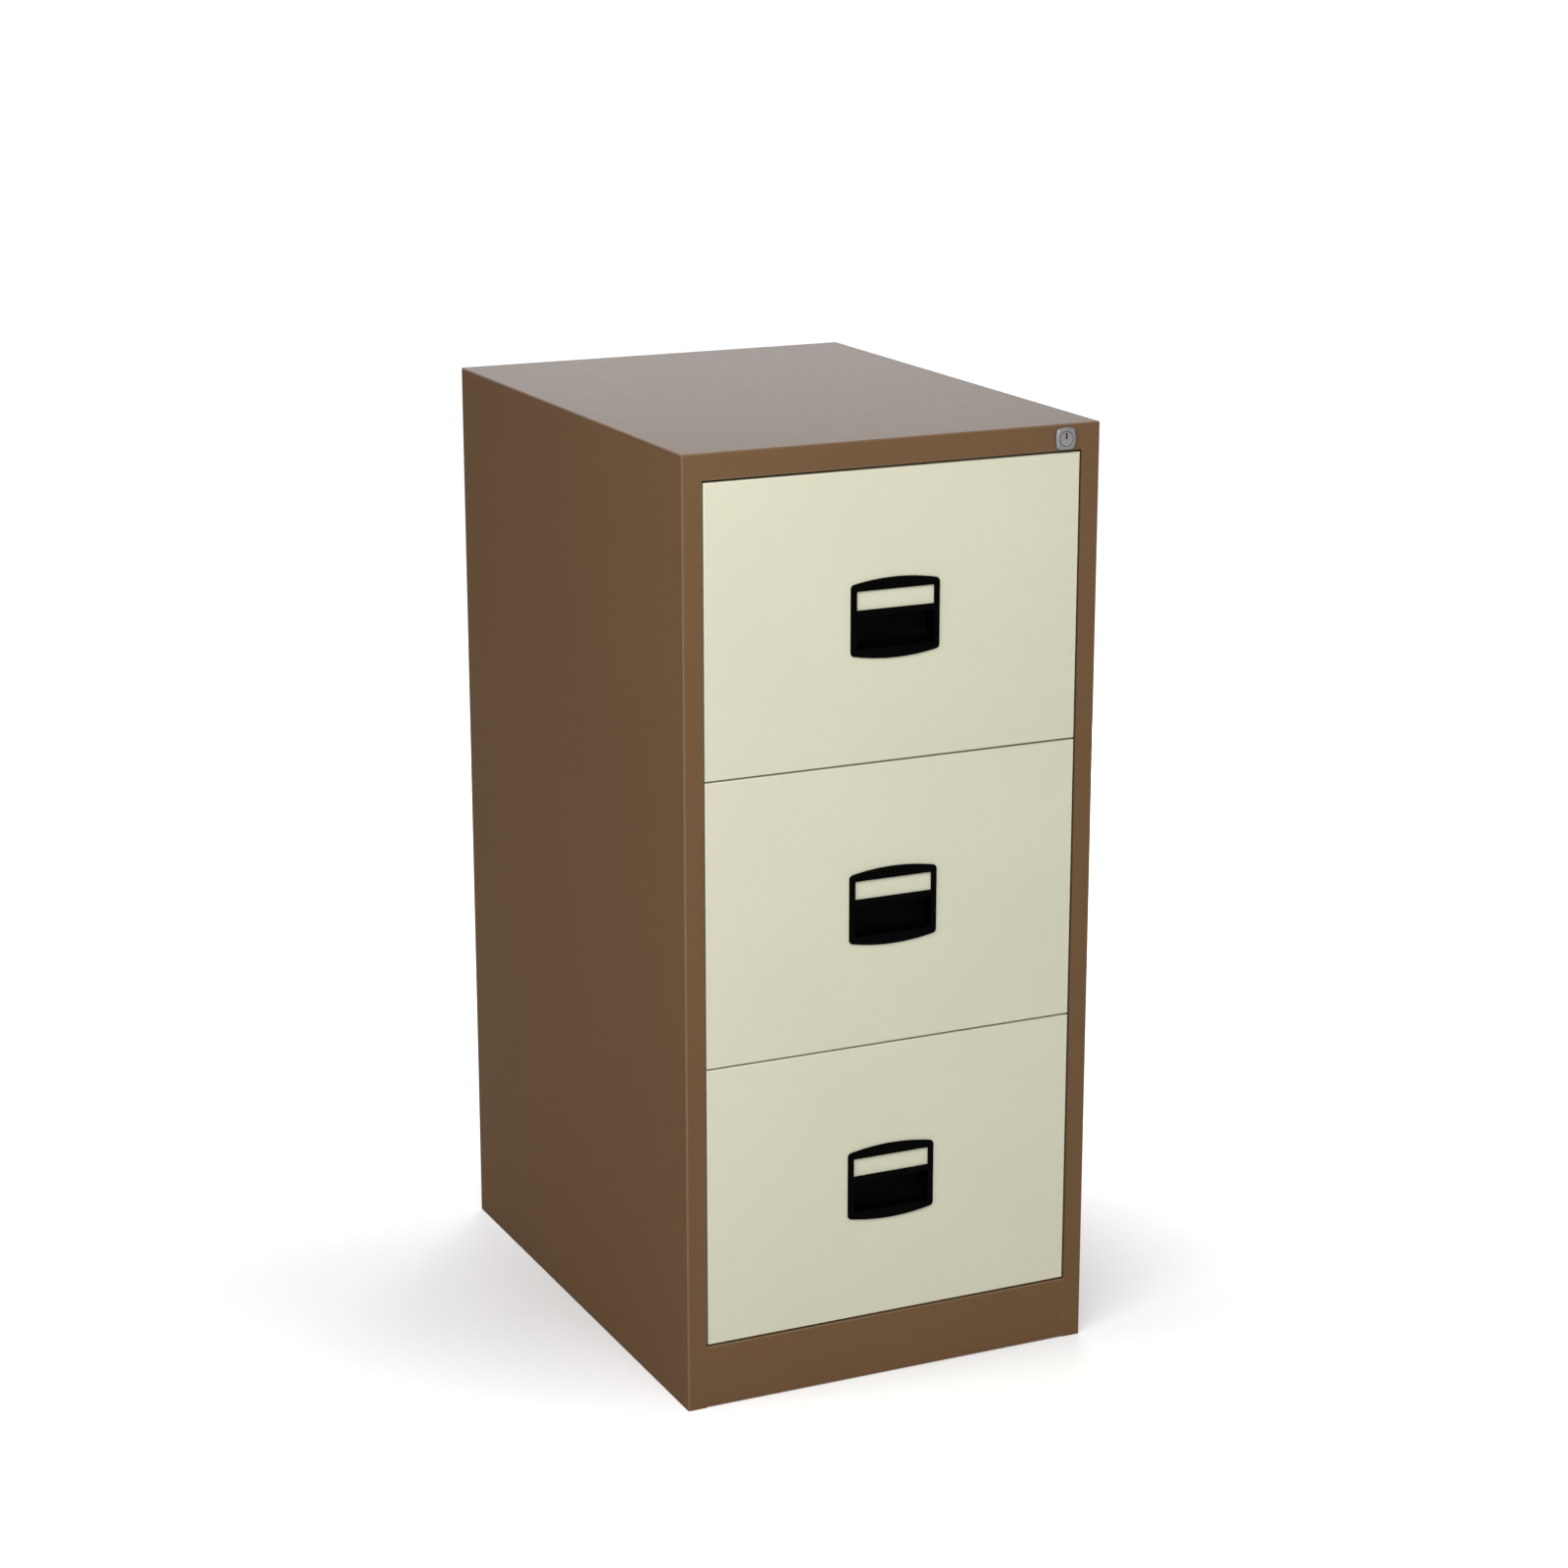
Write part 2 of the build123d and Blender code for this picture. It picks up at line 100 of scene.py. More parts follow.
def put(tree, kind, inputs=None, **settings):
    """A node of the kind in the tree: an input given as a socket is linked, any other is set."""
    node = tree.nodes.new(kind)
    for name, value in settings.items():
        setattr(node, name, value)
    for key, value in (inputs or {}).items():
        if isinstance(value, bpy.types.NodeSocket):
            tree.links.new(value, node.inputs[key])
        else:
            node.inputs[key].default_value = value
    return node


def empty_tree(owner):
    """The node tree of a material or world, with nothing in it."""
    owner.use_nodes = True
    owner.node_tree.nodes.clear()
    return owner.node_tree


def background_ray(tree):
    """1 where a ray from the camera, or one reflected or passed through, meets the background."""
    path = put(tree, "ShaderNodeLightPath")
    either = put(
        tree,
        "ShaderNodeMath",
        {0: path.outputs["Is Camera Ray"], 1: path.outputs["Is Glossy Ray"]},
        operation="MAXIMUM",
    )
    return put(
        tree,
        "ShaderNodeMath",
        {0: either.outputs[0], 1: path.outputs["Is Transmission Ray"]},
        operation="MAXIMUM",
    ).outputs[0]


pure_white = (1.0, 1.0, 1.0, 1.0)
surround_level = 0.24
scene.world = bpy.data.worlds.new("studio")
tree = empty_tree(scene.world)
surround = put(tree, "ShaderNodeBackground", {"Color": pure_white, "Strength": surround_level})
backdrop = put(tree, "ShaderNodeBackground", {"Color": pure_white, "Strength": 1.0})
mixed = put(
    tree,
    "ShaderNodeMixShader",
    {0: background_ray(tree), 1: surround.outputs[0], 2: backdrop.outputs[0]},
)
put(tree, "ShaderNodeOutputWorld", {"Surface": mixed.outputs[0]})

floor_half = 60.0
floor_cells = 8
floor_drop = 0.0004
floor_shade = (0.9, 0.9, 0.9, 1.0)
# The floor's glow is dim inside a turned oval round the cabinet and rises to white beyond it: a painted
# shadow of that shape.
near_glow = 0.137
far_glow = 0.85
shadow_centre = (-0.094, -0.073, 0.0)
shadow_turn = (0.0, 0.0, math.radians(-29.2))
shadow_reach = (1.733, 0.753, 1.0)
bm = bmesh.new()
bmesh.ops.create_grid(bm, x_segments=floor_cells, y_segments=floor_cells, size=floor_half)
floor = bpy.data.objects.new("floor", bpy.data.meshes.new("floor"))
bm.to_mesh(floor.data)
bm.free()
floor.location.z = -floor_drop
scene.collection.objects.link(floor)
floor_paper = bpy.data.materials.new("floor_paper")
tree = empty_tree(floor_paper)
place = put(tree, "ShaderNodeTexCoord").outputs["Object"]
painted_shadow_oval = put(
    tree,
    "ShaderNodeMapping",
    {"Vector": place, "Location": shadow_centre, "Rotation": shadow_turn, "Scale": shadow_reach},
    vector_type="TEXTURE",
)
away = put(tree, "ShaderNodeVectorMath", {0: painted_shadow_oval.outputs[0]}, operation="LENGTH").outputs["Value"]
level = put(
    tree,
    "ShaderNodeMapRange",
    {"Value": away, "To Min": near_glow, "To Max": far_glow},
    interpolation_type="SMOOTHSTEP",
)
glow = put(
    tree, "ShaderNodeMath", {0: background_ray(tree), 1: level.outputs[0]}, operation="MULTIPLY"
)
paper = put(
    tree,
    "ShaderNodeBsdfPrincipled",
    {
        "Base Color": floor_shade,
        "Roughness": 1.0,
        "Specular IOR Level": 0.0,
        "Emission Color": pure_white,
        "Emission Strength": glow.outputs[0],
    },
)
put(tree, "ShaderNodeOutputMaterial", {"Surface": paper.outputs[0]})
floor.data.materials.append(floor_paper)


def soft_lamp(name, place, target, width, power):
    """A square soft lamp at the place, aimed at the target."""
    lamp = bpy.data.objects.new(name, bpy.data.lights.new(name, "AREA"))
    lamp.data.shape = "SQUARE"
    lamp.data.size = width
    lamp.data.energy = power
    lamp.location = place
    aim = Vector(target) - Vector(place)
    lamp.rotation_euler = aim.to_track_quat("-Z", "Y").to_euler()
    scene.collection.objects.link(lamp)


soft_lamp("front_lamp", (-0.75, -2.2, 2.35), (0.0, -0.2, 0.5), width=1.8, power=47.0)
soft_lamp("left_lamp", (-2.3, -1.6, 2.3), (0.0, -0.2, 0.5), width=1.2, power=29.6)
soft_lamp("back_lamp", (1.3, 2.8, 2.5), (0.0, 0.3, 0.5), width=2.0, power=26.0)
soft_lamp("low_back_lamp", (1.6, 2.1, 0.55), (0.0, 0.2, 0.5), width=0.9, power=14.0)

# Carcass
# Side panels, top, plinth, back, base and uprights are folded from 1 mm steel sheet, welded together and
# then powder coated a matt coffee brown, which pulls thin over the folded edges. The edges are painted
# lighter, for the thin paint and as a painted highlight.


def new_group(name, kind, inputs, outputs):
    """A node group with the named inputs (name, socket, value) and outputs (name, socket)."""
    group = bpy.data.node_groups.new(name, kind)
    for title, socket, value in inputs:
        made = group.interface.new_socket(title, in_out="INPUT", socket_type=socket)
        if value is not None:
            made.default_value = value
    for title, socket in outputs:
        group.interface.new_socket(title, in_out="OUTPUT", socket_type=socket)
    return group, put(group, "NodeGroupInput").outputs


def noise(tree, place, scale, detail):
    """The value of a noise at the place."""
    return put(tree, "ShaderNodeTexNoise", {"Vector": place, "Scale": scale, "Detail": detail}).outputs[0]


def spread(tree, value, low, high):
    """The value, from 0 to 1, spread between low and high."""
    return put(tree, "ShaderNodeMapRange", {"Value": value, "To Min": low, "To Max": high}).outputs[0]


def powder_coat_group():
    """Powder paint: fine orange peel, slow drift of its shade, lighter edges of thin paint and painted
    highlight.
    """
    group, given = new_group(
        "powder_coat",
        "ShaderNodeTree",
        [
            ("Paint", "NodeSocketColor", (0.5, 0.5, 0.5, 1.0)),
            ("Thin Highlit Paint", "NodeSocketColor", (0.6, 0.6, 0.6, 1.0)),
            ("Edge Width", "NodeSocketFloat", 0.0012),
            ("Roughness", "NodeSocketFloat", 0.4),
        ],
        [
            ("Colour", "NodeSocketColor"),
            ("Roughness", "NodeSocketFloat"),
            ("Height", "NodeSocketFloat"),
        ],
    )
    place = put(group, "ShaderNodeTexCoord").outputs["Object"]
    peel = noise(group, place, scale=900.0, detail=2.0)
    drift = noise(group, place, scale=7.0, detail=4.0)
    patch = noise(group, place, scale=55.0, detail=3.0)
    folded = put(group, "ShaderNodeBevel", {"Radius": given["Edge Width"]}, samples=4)
    facing = put(group, "ShaderNodeNewGeometry").outputs["Normal"]
    agree = put(
        group, "ShaderNodeVectorMath", {0: folded.outputs[0], 1: facing}, operation="DOT_PRODUCT"
    )
    edge = put(
        group,
        "ShaderNodeMapRange",
        {"Value": agree.outputs["Value"], "From Min": 0.995, "From Max": 0.8},
    )
    # Lighter paint along the edges: thin paint, and a painted highlight.
    thin_highlit_edge = put(group, "ShaderNodeMath", {0: edge.outputs[0], 1: patch}, operation="MULTIPLY")
    mottled = put(
        group,
        "ShaderNodeVectorMath",
        {0: given["Paint"], "Scale": spread(group, drift, 0.965, 1.035)},
        operation="SCALE",
    )
    colour = put(
        group,
        "ShaderNodeMix",
        {0: thin_highlit_edge.outputs[0], 6: mottled.outputs[0], 7: given["Thin Highlit Paint"]},
        data_type="RGBA",
    )
    gloss = put(group, "ShaderNodeMath", {0: given["Roughness"], 1: spread(group, patch, -0.02, 0.02)})
    put(
        group,
        "NodeGroupOutput",
        {"Colour": colour.outputs[2], "Roughness": gloss.outputs[0], "Height": peel},
    )
    return group


powder_coat = powder_coat_group()


def painted(name, paint, thin_highlit_paint, roughness, gloss):
    """Powder coated steel of one colour."""
    material = bpy.data.materials.new(name)
    tree = empty_tree(material)
    coat = put(
        tree,
        "ShaderNodeGroup",
        {"Paint": (*paint, 1.0), "Thin Highlit Paint": (*thin_highlit_paint, 1.0), "Roughness": roughness},
        node_tree=powder_coat,
    )
    peel = put(
        tree,
        "ShaderNodeBump",
        {"Height": coat.outputs["Height"], "Strength": 0.25, "Distance": 0.0002},
    )
    surface = put(
        tree,
        "ShaderNodeBsdfPrincipled",
        {
            "Base Color": coat.outputs["Colour"],
            "Roughness": coat.outputs["Roughness"],
            "Normal": peel.outputs[0],
            "Specular IOR Level": gloss,
        },
    )
    put(tree, "ShaderNodeOutputMaterial", {"Surface": surface.outputs[0]})
    return material


def finish_nodes(slot, material):
    """Gives the material to every CAD node of the slot."""
    for subpart in frame["record"]["subparts"]:
        if subpart["material_slot"] == slot:
            frame["nodes"][subpart["node"]].material_slots[0].material = material


coffee = (0.164, 0.0945, 0.0475)
# The lighter edge colour stands for thin paint and is also a painted highlight.
thin_highlit_coffee = (0.22, 0.14, 0.08)
coffee_paint = painted("coffee_paint", coffee, thin_highlit_coffee, roughness=0.45, gloss=0.004)
finish_nodes("carcass_paint", coffee_paint)

# Folds of the carcass
# Where a sheet is bent the paint is stretched thin and rubbed bright, so the rounded folds of the side
# panels, the top and the plinth catch the light. The flat top has more sheen, and its paint colour is
# greyed, a painted sheen.


merge_distance = 1e-5
flat_angle = 0.5
sheet_smooth_angle = 35.0
turned_smooth_angle = 40.0
rounded_smooth_angle = 50.0


def merged(node):
    """A closed copy of a CAD node's mesh, with its doubled corners and flat triangles merged."""
    bm = bmesh.new()
    bm.from_mesh(frame["nodes"][node].data)
    bmesh.ops.remove_doubles(bm, verts=bm.verts, dist=merge_distance)
    limit = math.radians(flat_angle)
    bmesh.ops.dissolve_limit(bm, angle_limit=limit, verts=bm.verts, edges=bm.edges)
    return bm


def new_piece(name, bm, materials, smooth_angle=sheet_smooth_angle):
    """An object made of the mesh, with smooth faces between edges sharper than the angle."""
    mesh = bpy.data.meshes.new(name)
    bm.to_mesh(mesh)
    bm.free()
    for material in materials:
        mesh.materials.append(material)
    mesh.shade_smooth()
    mesh.set_sharp_from_angle(angle=math.radians(smooth_angle))
    made = bpy.data.objects.new(name, mesh)
    scene.collection.objects.link(made)
    return made


def stands_for(made, node, body):
    """The piece rides on the body and takes the place of the CAD node."""
    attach(made, body)
    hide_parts(node)


flat_part = 0.99
top_tolerance = 0.0005


def folded_sheet(name, node, body, materials):
    """A copy of a sheet whose rounded folds have the second material and whose flat top the third."""
    bm = merged(node)
    for face in bm.faces:
        height = face.calc_center_median().z
        if max(abs(part) for part in face.normal) < flat_part:
            face.material_index = 1
        elif len(materials) > 2 and face.normal.z > 0 and height > cad_high.z - top_tolerance:
            face.material_index = 2
    stands_for(new_piece(name, bm, materials), node, body)


fold_paint = painted("coffee_fold_paint", coffee, thin_highlit_coffee, roughness=0.4, gloss=0.32)
# The top's greyed colour is a painted sheen.
painted_sheen_coffee = (0.135, 0.094, 0.066)
painted_sheen_paint = painted("painted_sheen_coffee_paint", painted_sheen_coffee, thin_highlit_coffee, roughness=0.5, gloss=0.21)
for node in ("left_side_panel", "right_side_panel", "plinth_rail"):
    folded_sheet(f"{node}_sheet", node, "carcass", [coffee_paint, fold_paint])
folded_sheet("top_sheet", "top_panel", "carcass", [coffee_paint, fold_paint, painted_sheen_paint])

# Drawers
# Each front is a shallow steel pan with softly folded edges, closed behind by a liner and screwed to a
# folded tray with rails for hanging files, all powder coated cream.
drawer_names = ("top", "middle", "bottom")
cream = (0.66, 0.65, 0.50)
# The lighter edge colour stands for thin paint and is also a painted highlight.
thin_highlit_cream = (0.78, 0.77, 0.62)
cream_paint = painted("cream_paint", cream, thin_highlit_cream, roughness=0.45, gloss=0.1)
cream_fold_paint = painted("cream_fold_paint", cream, thin_highlit_cream, roughness=0.36, gloss=0.5)
finish_nodes("drawer_paint", cream_paint)
for name in drawer_names:
    node = f"{name}_drawer_front"
    folded_sheet(f"{node}_sheet", node, f"{name}_drawer", [cream_paint, cream_fold_paint])

# Handles
# One-piece pulls moulded in black plastic with a fine satin grain and softened edges, clipped into the
# drawer fronts. An open label window sits above the grip bar and the scooped finger recess.
pull_edge = 0.0004
square_angle = 60.0
slant_angle = 25.0
rounding_steps = 3


def moulded(name, colour, grain_scale, relief, roughness, gloss):
    """Moulded plastic with a fine grain, which its roughness follows from the low to the high value."""
    material = bpy.data.materials.new(name)
    tree = empty_tree(material)
    place = put(tree, "ShaderNodeTexCoord").outputs["Object"]
    grain = noise(tree, place, scale=grain_scale, detail=2.0)
    raised = put(tree, "ShaderNodeBump", {"Height": grain, "Strength": relief, "Distance": 0.0001})
    surface = put(
        tree,
        "ShaderNodeBsdfPrincipled",
        {
            "Base Color": (*colour, 1.0),
            "Roughness": spread(tree, grain, *roughness),
            "Normal": raised.outputs[0],
            "Specular IOR Level": gloss,
        },
    )
    put(tree, "ShaderNodeOutputMaterial", {"Surface": surface.outputs[0]})
    return material


def softened(name, node, square_width, slant_width, materials, inside=None):
    """A copy of a CAD node with rounded edges, whose inside faces have the second material."""
    widest = max(square_width, slant_width)
    bm = merged(node)
    weight = bm.edges.layers.float.new("bevel_weight_edge")
    for edge in bm.edges:
        angle = math.degrees(edge.calc_face_angle(0.0))
        if angle > square_angle:
            edge[weight] = square_width / widest
        elif angle > slant_angle:
            edge[weight] = slant_width / widest
    for face in bm.faces:
        if inside and inside(face.calc_center_median()):
            face.material_index = 1
    plain = new_piece("plain", bm, materials)
    bevel = plain.modifiers.new("soft", "BEVEL")
    bevel.limit_method = "WEIGHT"
    bevel.width = widest
    bevel.segments = rounding_steps
    shown = plain.evaluated_get(bpy.context.evaluated_depsgraph_get())
    bm = bmesh.new()
    bm.from_mesh(shown.to_mesh())
    bpy.data.objects.remove(plain)
    return new_piece(name, bm, materials, rounded_smooth_angle)


handle_plastic = moulded(
    "handle_plastic",
    colour=(0.0004, 0.0004, 0.0005),
    grain_scale=2600.0,
    relief=0.3,
    roughness=(0.42, 0.6),
    gloss=0.018,
)
finish_nodes("handle_plastic", handle_plastic)
for name in drawer_names:
    pull = softened(f"{name}_pull", f"{name}_handle", pull_edge, pull_edge, [handle_plastic])
    stands_for(pull, f"{name}_handle", f"{name}_drawer")

# Fasteners
# Shapes with their axis along Z and their seat at z = 0, turned from a few sizes. Geometry nodes repeat a
# shape along a line, each turned about its own axis by a chance angle; the row then becomes a plain mesh.


def row_group():
    """One shape repeated along a line."""
    group, given = new_group(
        "fastener_row",
        "GeometryNodeTree",
        [
            ("Shape", "NodeSocketObject", None),
            ("Finish", "NodeSocketMaterial", None),
            ("Start", "NodeSocketVector", None),
            ("Step", "NodeSocketVector", None),
            ("Count", "NodeSocketInt", 2),
            ("Facing", "NodeSocketVector", None),
            ("Seed", "NodeSocketInt", 1),
        ],
        [("Geometry", "NodeSocketGeometry")],
    )
    line = put(
        group,
        "GeometryNodeMeshLine",
        {"Count": given["Count"], "Start Location": given["Start"], "Offset": given["Step"]},
        mode="OFFSET",
    )
    shape = put(group, "GeometryNodeObjectInfo", {"Object": given["Shape"]})
    placed = put(
        group,
        "GeometryNodeInstanceOnPoints",
        {"Points": line.outputs[0], "Instance": shape.outputs["Geometry"], "Rotation": given["Facing"]},
    )
    chance = put(group, "FunctionNodeRandomValue", {3: math.pi, "Seed": given["Seed"]}, data_type="FLOAT")
    about = put(group, "ShaderNodeCombineXYZ", {"Z": chance.outputs[1]})
    turned = put(
        group,
        "GeometryNodeRotateInstances",
        {"Instances": placed.outputs[0], "Rotation": about.outputs[0]},
    )
    real = put(group, "GeometryNodeRealizeInstances", {"Geometry": turned.outputs[0]})
    done = put(
        group,
        "GeometryNodeSetMaterial",
        {"Geometry": real.outputs[0], "Material": given["Finish"]},
    )
    put(group, "NodeGroupOutput", {"Geometry": done.outputs[0]})
    return group


fastener_row = row_group()
facing_ways = {
    "up": (0.0, 0.0, 0.0),
    "left": (0.0, -math.pi / 2, 0.0),
    "right": (0.0, math.pi / 2, 0.0),
    "front": (math.pi / 2, 0.0, 0.0),
    "back": (-math.pi / 2, 0.0, 0.0),
}


def add_row(bm, shape, start, step, count, way, seed=1):
    """Adds a row of the shape to the mesh: its first place, the step to the next and the way it faces."""
    maker = bpy.data.objects.new("row", bpy.data.meshes.new("row"))
    scene.collection.objects.link(maker)
    modifier = maker.modifiers.new("row", "NODES")
    modifier.node_group = fastener_row
    values = {
        "Shape": shape,
        "Finish": shape.data.materials[0],
        "Start": start,
        "Step": step,
        "Count": count,
        "Facing": facing_ways[way],
        "Seed": seed,
    }
    for title, value in values.items():
        modifier[fastener_row.interface.items_tree[title].identifier] = value
    shown = maker.evaluated_get(bpy.context.evaluated_depsgraph_get())
    made = bpy.data.meshes.new_from_object(shown)
    bm.from_mesh(made)
    bpy.data.objects.remove(maker)
    bpy.data.meshes.remove(made)


def turned_shape(name, profile, sides, material):
    """A closed shape turned about Z from points of radius and height, from its foot to its top."""
    bm = bmesh.new()
    rings = []
    turns = [2 * math.pi * side / sides for side in range(sides)]
    for radius, height in profile:
        places = [(radius * math.cos(turn), radius * math.sin(turn), height) for turn in turns]
        rings.append([bm.verts.new(place) for place in places])
    bm.faces.new(reversed(rings[0]))
    bm.faces.new(rings[-1])
    for low, high in zip(rings, rings[1:]):
        for side in range(sides):
            after = (side + 1) % sides
            bm.faces.new((low[side], low[after], high[after], high[side]))
    made = new_piece(name, bm, [material], turned_smooth_angle)
    scene.collection.objects.unlink(made)
    return made


def rides(made, body):
    """The piece rides on the body."""
    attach(made, body)


# Weld marks
# Shallow rings in a row up each side of the back, where the returns of the side panels are spot welded to
# the back panel. They are left in the steel and show through the paint.
weld_ring = turned_shape(
    "weld_ring",
    [(0.0034, -0.0002), (0.0032, 0.0001), (0.0026, 0.00022), (0.0018, 0.00004)],
    sides=16,
    material=coffee_paint,
)
weld_out = 0.224
weld_foot = 0.06
weld_step = (0.0, 0.0, 0.15)
weld_count = 7
bm = bmesh.new()
for x in (-weld_out, weld_out):
    add_row(bm, weld_ring, (x, cad_high.y, weld_foot), weld_step, weld_count, "back")
weld_marks = new_piece("weld_marks", bm, [coffee_paint])
rides(weld_marks, "carcass")

# Runners
# Telescopic slides of rolled steel with bright zinc plate, which shows the fine lines of rolling along
# their length. Stamped cages between them hold two rows of hardened balls each.


def zinc_plate_group():
    """Zinc plate on rolled steel: fine lines along one way and a slow clouding of its tint."""
    group, given = new_group(
        "zinc_plate",
        "ShaderNodeTree",
        [
            ("Light", "NodeSocketColor", (0.6, 0.6, 0.6, 1.0)),
            ("Dull", "NodeSocketColor", (0.5, 0.5, 0.5, 1.0)),
            ("Grain", "NodeSocketVector", (1.0, 1.0, 1.0)),
        ],
        [
            ("Colour", "NodeSocketColor"),
            ("Roughness", "NodeSocketFloat"),
            ("Height", "NodeSocketFloat"),
        ],
    )
    place = put(group, "ShaderNodeTexCoord").outputs["Object"]
    along = put(group, "ShaderNodeMapping", {"Vector": place, "Scale": given["Grain"]}).outputs[0]
    lines = noise(group, along, scale=1.0, detail=3.0)
    cloud = noise(group, place, scale=24.0, detail=4.0)
    colour = put(
        group, "ShaderNodeMix", {0: cloud, 6: given["Light"], 7: given["Dull"]}, data_type="RGBA"
    )
    put(
        group,
        "NodeGroupOutput",
        {"Colour": colour.outputs[2], "Roughness": spread(group, lines, 0.2, 0.5), "Height": lines},
    )
    return group


zinc_plate = zinc_plate_group()


def plated(name, light, dull, grain):
    """Plated or bright steel with its rolling lines along one way."""
    material = bpy.data.materials.new(name)
    tree = empty_tree(material)
    plate = put(
        tree,
        "ShaderNodeGroup",
        {"Light": (*light, 1.0), "Dull": (*dull, 1.0), "Grain": grain},
        node_tree=zinc_plate,
    )
    scored = put(
        tree, "ShaderNodeBump", {"Height": plate.outputs["Height"], "Strength": 0.15, "Distance": 0.0001}
    )
    surface = put(
        tree,
        "ShaderNodeBsdfPrincipled",
        {
            "Base Color": plate.outputs["Colour"],
            "Roughness": plate.outputs["Roughness"],
            "Normal": scored.outputs[0],
            "Metallic": 1.0,
        },
    )
    put(tree, "ShaderNodeOutputMaterial", {"Surface": surface.outputs[0]})
    return material


lines_along_y = (900.0, 14.0, 900.0)
lines_along_z = (900.0, 900.0, 14.0)
runner_steel = plated("runner_steel", (0.43, 0.43, 0.43), (0.31, 0.31, 0.315), lines_along_y)
finish_nodes("runner_steel", runner_steel)
cage_steel = plated("cage_steel", (0.34, 0.34, 0.345), (0.26, 0.26, 0.265), lines_along_y)
finish_nodes("cage_steel", cage_steel)

# Ball cages
# U-shaped strips stamped from thin steel, which float between the runners. Their flanges hold the hardened
# balls between the runners' flanges, in a row above and a row below.
ball_radius = 0.0015
ball_bands = 6
ball_sides = 8
ball_count = 18
ball_margin = 0.01
cage_sheet = 0.0004
outer_cage_depth = 0.008
outer_ball_level = 0.0201
inner_cage_depth = 0.0059
inner_ball_level = 0.0158
ball_steel = plated("ball_steel", (0.72, 0.72, 0.73), (0.66, 0.66, 0.67), (60.0, 60.0, 60.0))
ball_rings = [math.pi * (band / ball_bands - 0.5) for band in range(1, ball_bands)]
ball = turned_shape(
    "ball",
    [(ball_radius * math.cos(slope), ball_radius * math.sin(slope)) for slope in ball_rings],
    sides=ball_sides,
    material=ball_steel,
)


def add_strip(bm, section, start, end):
    """Adds a section of x and z points, drawn out along y, to the mesh."""
    rings = [[bm.verts.new((x, y, z)) for x, z in section] for y in (start, end)]
    sides = [bm.faces.new(rings[0]), bm.faces.new(rings[1])]
    count = len(section)
    for side in range(count):
        after = (side + 1) % count
        sides.append(bm.faces.new((rings[0][side], rings[0][after], rings[1][after], rings[1][side])))
    bmesh.ops.recalc_face_normals(bm, faces=sides)


def cage_set(node, body, depth, ball_level):
    """Both cages of one node, left and right, each with a row of balls above and below its centre."""
    low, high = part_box(node)
    axis = (low.z + high.z) / 2
    outer = high.x
    inner = high.x - depth
    bm = bmesh.new()
    for side in (-1, 1):
        top = axis + ball_level + cage_sheet / 2
        foot = axis - ball_level - cage_sheet / 2
        section = [
            (side * inner, top),
            (side * outer, top),
            (side * outer, foot),
            (side * inner, foot),
            (side * inner, foot + cage_sheet),
            (side * (outer - cage_sheet), foot + cage_sheet),
            (side * (outer - cage_sheet), top - cage_sheet),
            (side * inner, top - cage_sheet),
        ]
        add_strip(bm, section, low.y, high.y)
    strips = len(bm.faces)
    step = (high.y - low.y - 2 * ball_margin) / (ball_count - 1)
    for side in (-1, 1):
        for level in (axis - ball_level, axis + ball_level):
            start = (side * (inner + outer) / 2, low.y + ball_margin, level)
            add_row(bm, ball, start, (0.0, step, 0.0), ball_count, "up")
    for index, face in enumerate(bm.faces):
        face.material_index = 0 if index < strips else 1
    made = new_piece(f"{node}_and_balls", bm, [cage_steel, ball_steel], turned_smooth_angle)
    stands_for(made, node, body)


for name in drawer_names:
    cage_set(f"{name}_outer_ball_cages", f"{name}_outer_cages", outer_cage_depth, outer_ball_level)
    cage_set(f"{name}_inner_ball_cages", f"{name}_inner_cages", inner_cage_depth, inner_ball_level)

# Drawer fasteners
# Domed rivets hold the drawer runners and the file rails to the tray, and four cross-head screws hold the
# tray to its front. All are zinc plated. The crosses are cut from the heads one slot after the other.
rivet = turned_shape(
    "rivet",
    [(0.0042, -0.0004), (0.0042, 0.0003), (0.0034, 0.0010), (0.0020, 0.0015), (0.0006, 0.00165)],
    sides=16,
    material=runner_steel,
)
screw_head = turned_shape(
    "screw_head",
    [(0.0042, -0.0004), (0.0042, 0.0012), (0.0036, 0.0020), (0.0024, 0.0024)],
    sides=20,
    material=runner_steel,
)
slot_long = 0.0020
slot_short = 0.00045
slot_deep = 0.0011
slot_level = 0.0022


def cut_slot(head, half_size):
    """Cuts a slot of the half size out of the top of the screw head."""
    bm = bmesh.new()
    bmesh.ops.create_cube(bm, size=2.0)
    bmesh.ops.scale(bm, vec=half_size, verts=bm.verts)
    bmesh.ops.translate(bm, vec=(0.0, 0.0, slot_level), verts=bm.verts)
    blade = new_piece("blade", bm, [runner_steel])
    scene.collection.objects.link(head)
    cut = head.modifiers.new("cut", "BOOLEAN")
    cut.object = blade
    shown = head.evaluated_get(bpy.context.evaluated_depsgraph_get())
    cut_mesh = bpy.data.meshes.new_from_object(shown)
    head.modifiers.clear()
    head.data = cut_mesh
    scene.collection.objects.unlink(head)
    bpy.data.objects.remove(blade)


cut_slot(screw_head, (slot_long, slot_short, slot_deep))
cut_slot(screw_head, (slot_short, slot_long, slot_deep))

